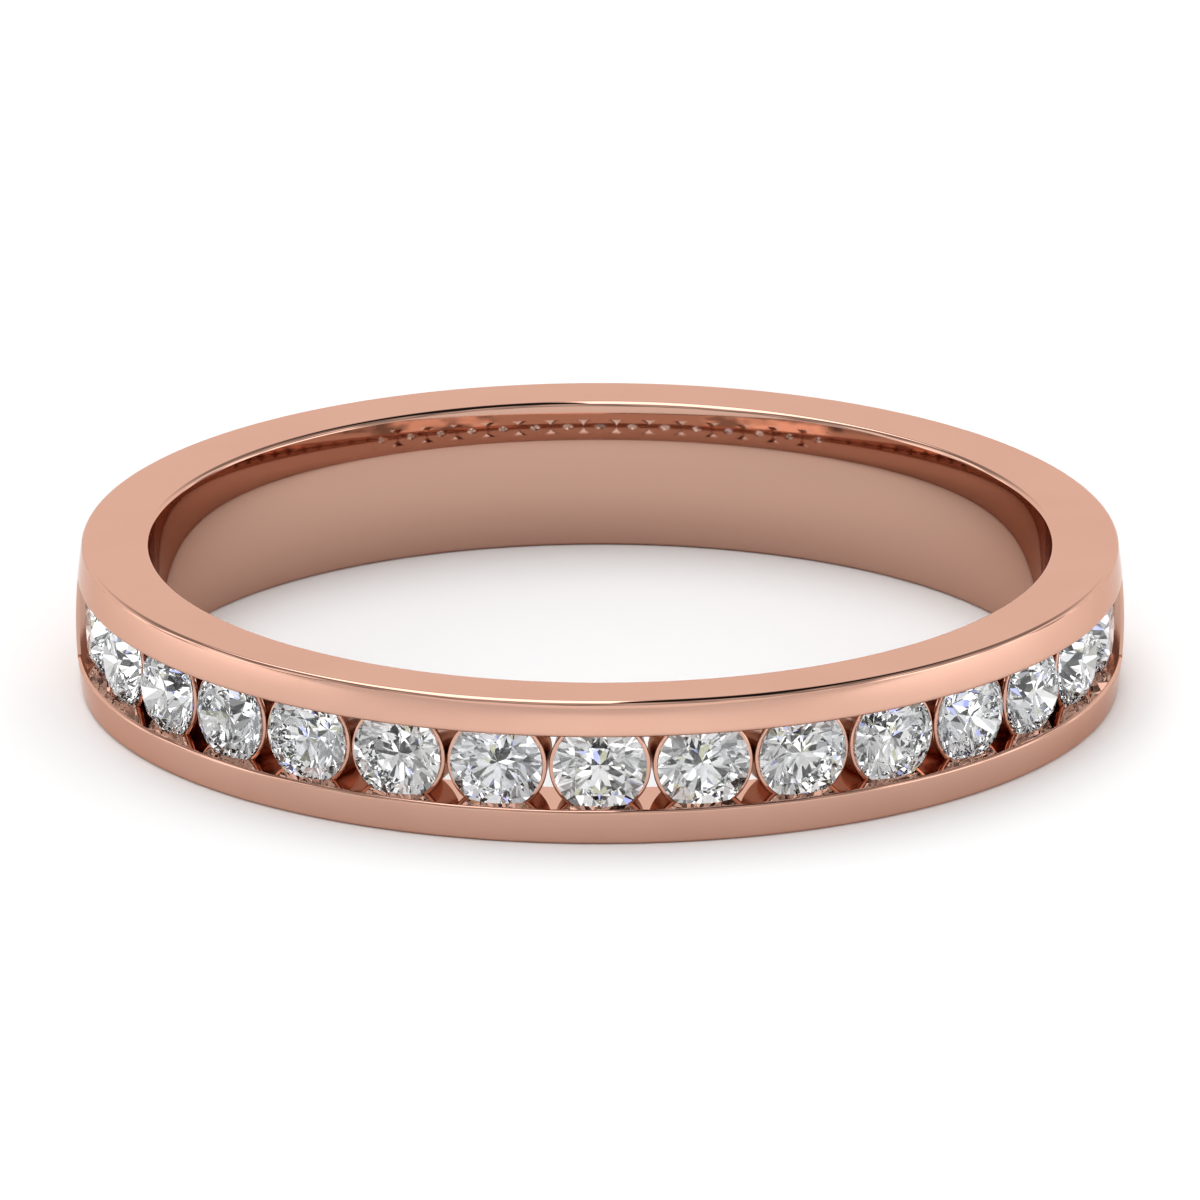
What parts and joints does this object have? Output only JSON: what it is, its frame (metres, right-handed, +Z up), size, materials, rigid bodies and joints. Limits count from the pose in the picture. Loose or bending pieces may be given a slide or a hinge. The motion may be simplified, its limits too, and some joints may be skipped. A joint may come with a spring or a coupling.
{
  "type": "wedding band",
  "caption": "Rose-gold half-eternity band: a domed comfort-fit shank and two rails that hold a channel of round brilliants in collets.",
  "frame": {"origin": "on the ring's axis, level with the face that the ring lies on", "axes": "+Z up along the ring's axis; -Y out through the middle stone of the row; +X to the right when the stones are faced"},
  "size_m": [0.0204, 0.0204, 0.0029],
  "materials": {
    "rose_gold_band": "mirror polish",
    "rose_gold_collet": "bright, from the cutter",
    "diamond": "polished facets"
  },
  "bodies": {
    "root": {"shank": "rose_gold_band", "upper_rail": "rose_gold_band", "lower_rail": "rose_gold_band", "collet_01": "rose_gold_collet", "collet_02": "rose_gold_collet", "collet_03": "rose_gold_collet", "collet_04": "rose_gold_collet", "collet_05": "rose_gold_collet", "collet_06": "rose_gold_collet", "collet_07": "rose_gold_collet", "collet_08": "rose_gold_collet", "collet_09": "rose_gold_collet", "collet_10": "rose_gold_collet", "collet_11": "rose_gold_collet", "collet_12": "rose_gold_collet", "collet_13": "rose_gold_collet", "collet_14": "rose_gold_collet", "collet_15": "rose_gold_collet", "diamond_01": "diamond", "diamond_02": "diamond", "diamond_03": "diamond", "diamond_04": "diamond", "diamond_05": "diamond", "diamond_06": "diamond", "diamond_07": "diamond", "diamond_08": "diamond", "diamond_09": "diamond", "diamond_10": "diamond", "diamond_11": "diamond", "diamond_12": "diamond", "diamond_13": "diamond", "diamond_14": "diamond", "diamond_15": "diamond"}
  },
  "joints": []
}
